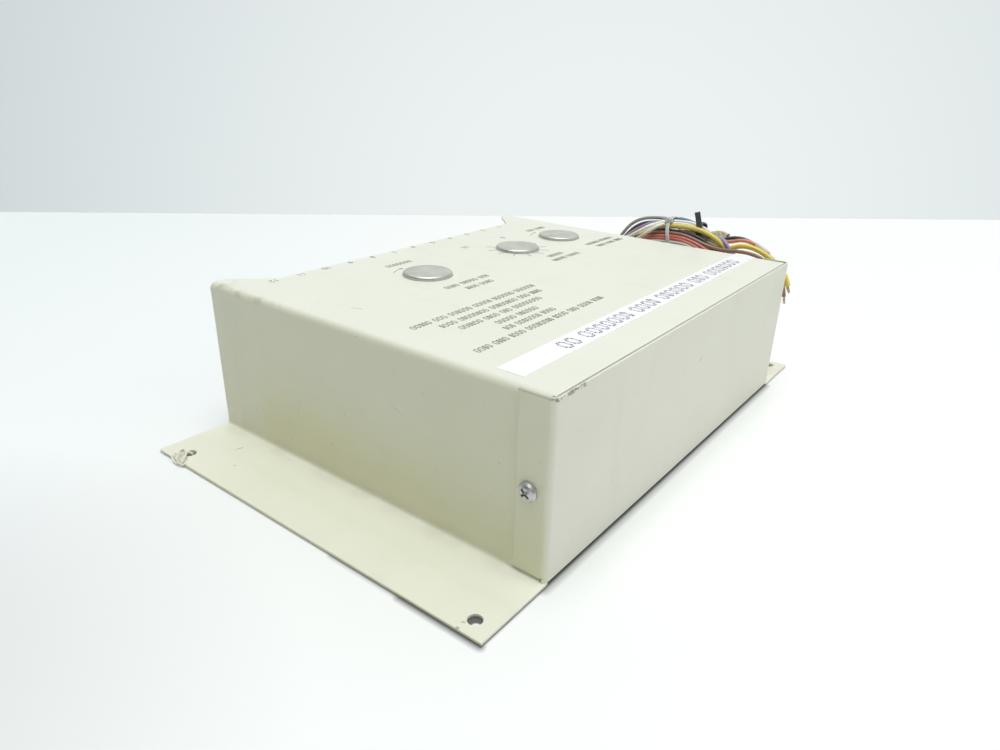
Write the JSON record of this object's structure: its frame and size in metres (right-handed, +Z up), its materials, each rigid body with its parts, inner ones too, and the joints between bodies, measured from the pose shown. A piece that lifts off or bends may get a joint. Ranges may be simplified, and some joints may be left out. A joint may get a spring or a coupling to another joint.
{
  "type": "boxed electronic controller",
  "caption": "Sheet-metal control module with mounting flanges, hole plugs over trimmers, a notch over a terminal strip, screwed end cover and a coiled wire harness.",
  "frame": {"origin": "mounting plane, under the middle of the box between the outer ends of the flanges", "axes": "+Z up from the mounting flanges' underside; +Y towards the screwed end cover, -Y the terminal side; X along the box, the harness leaves the -X wall"},
  "size_m": [0.3148, 0.199, 0.095],
  "materials": {
    "cream_paint": "satin baked enamel",
    "zinc_steel": "zinc plated",
    "nickel": "satin nickel plate",
    "tape_white": "glossy laminated tape",
    "black_phenolic": "moulded",
    "tinned_brass": "tinned",
    "board_green": "solder-masked laminate",
    "pot_case": "pressed can",
    "turned_steel": "turned",
    "white_nylon": "moulded",
    "winding_tape": "polyester tape",
    "capacitor_sleeve": "shrink sleeve",
    "black_rubber": "moulded",
    "wire_insulation": "extruded vinyl, one colour per lead",
    "clear_nylon": "moulded",
    "black_nylon": "moulded",
    "twine": "twisted cotton"
  },
  "bodies": {
    "case": {"board_rail_left": "zinc_steel", "board_rail_right": "zinc_steel", "board_screws": "zinc_steel", "circuit_board": "board_green", "cover_clip_nuts": "zinc_steel", "cover_screws": "zinc_steel", "diodes": "black_phenolic", "end_cover": "cream_paint", "film_capacitors": "capacitor_sleeve", "filter_capacitors": "capacitor_sleeve", "harness_coil": "wire_insulation", "harness_lead": "wire_insulation", "harness_tie_black": "black_nylon", "harness_tie_clear": "clear_nylon", "housing": "cream_paint", "label_tape": "tape_white", "op_amps": "black_phenolic", "pot_body_1": "pot_case", "pot_body_2": "pot_case", "pot_body_3": "pot_case", "pot_bushing_1": "tinned_brass", "pot_bushing_2": "tinned_brass", "pot_bushing_3": "tinned_brass", "relay_1_base": "black_phenolic", "relay_1_bobbin": "white_nylon", "relay_1_coil": "winding_tape", "relay_1_fixed_contact": "tinned_brass", "relay_1_yoke": "turned_steel", "relay_2_base": "black_phenolic", "relay_2_bobbin": "white_nylon", "relay_2_coil": "winding_tape", "relay_2_fixed_contact": "tinned_brass", "relay_2_yoke": "turned_steel", "resistors": "capacitor_sleeve", "tag_string": "twine", "terminal_block": "black_phenolic", "terminal_block_screws": "zinc_steel", "terminal_bracket": "zinc_steel", "terminal_plates": "tinned_brass", "terminal_screws": "zinc_steel", "transformer_bobbin": "white_nylon", "transformer_core": "turned_steel", "transformer_screws": "zinc_steel", "transformer_strap": "zinc_steel", "transformer_winding": "winding_tape", "transistors": "black_phenolic", "wire_grommet": "black_rubber", "wire_posts": "tinned_brass"},
    "plug_1": {"hole_plug_1": "nickel"},
    "trimmer_1": {"pot_shaft_1": "turned_steel"},
    "plug_2": {"hole_plug_2": "nickel"},
    "trimmer_2": {"pot_shaft_2": "turned_steel"},
    "plug_3": {"hole_plug_3": "nickel"},
    "trimmer_3": {"pot_shaft_3": "turned_steel"},
    "armature_1": {"relay_1_armature": "turned_steel", "relay_1_contact_leaf": "tinned_brass"},
    "armature_2": {"relay_2_armature": "turned_steel", "relay_2_contact_leaf": "tinned_brass"}
  },
  "joints": [
    {"name": "plug_1_pull", "type": "slide", "parent": "case", "child": "plug_1", "axis": [0, 0, 1], "range_m": [0, 0.015]},
    {"name": "trimmer_1_turn", "type": "hinge", "parent": "case", "child": "trimmer_1", "pos_m": [0.038, -0.033, 0.05], "axis": [0, 0, 1], "range_deg": [-150, 150]},
    {"name": "plug_2_pull", "type": "slide", "parent": "case", "child": "plug_2", "axis": [0, 0, 1], "range_m": [0, 0.015]},
    {"name": "trimmer_2_turn", "type": "hinge", "parent": "case", "child": "trimmer_2", "pos_m": [-0.039, -0.033, 0.05], "axis": [0, 0, 1], "range_deg": [-150, 150]},
    {"name": "plug_3_pull", "type": "slide", "parent": "case", "child": "plug_3", "axis": [0, 0, 1], "range_m": [0, 0.015]},
    {"name": "trimmer_3_turn", "type": "hinge", "parent": "case", "child": "trimmer_3", "pos_m": [-0.083, -0.033, 0.05], "axis": [0, 0, 1], "range_deg": [-150, 150]},
    {"name": "relay_1_pull_in", "type": "hinge", "parent": "case", "child": "armature_1", "pos_m": [0.073, -0.02, 0.0462], "axis": [0, 1, 0], "range_deg": [0, 4], "stiffness_Nm_per_rad": 0.02, "springref_deg": -5.73},
    {"name": "relay_2_pull_in", "type": "hinge", "parent": "case", "child": "armature_2", "pos_m": [0.073, -0.048, 0.0462], "axis": [0, 1, 0], "range_deg": [0, 4], "stiffness_Nm_per_rad": 0.02, "springref_deg": -5.73}
  ]
}
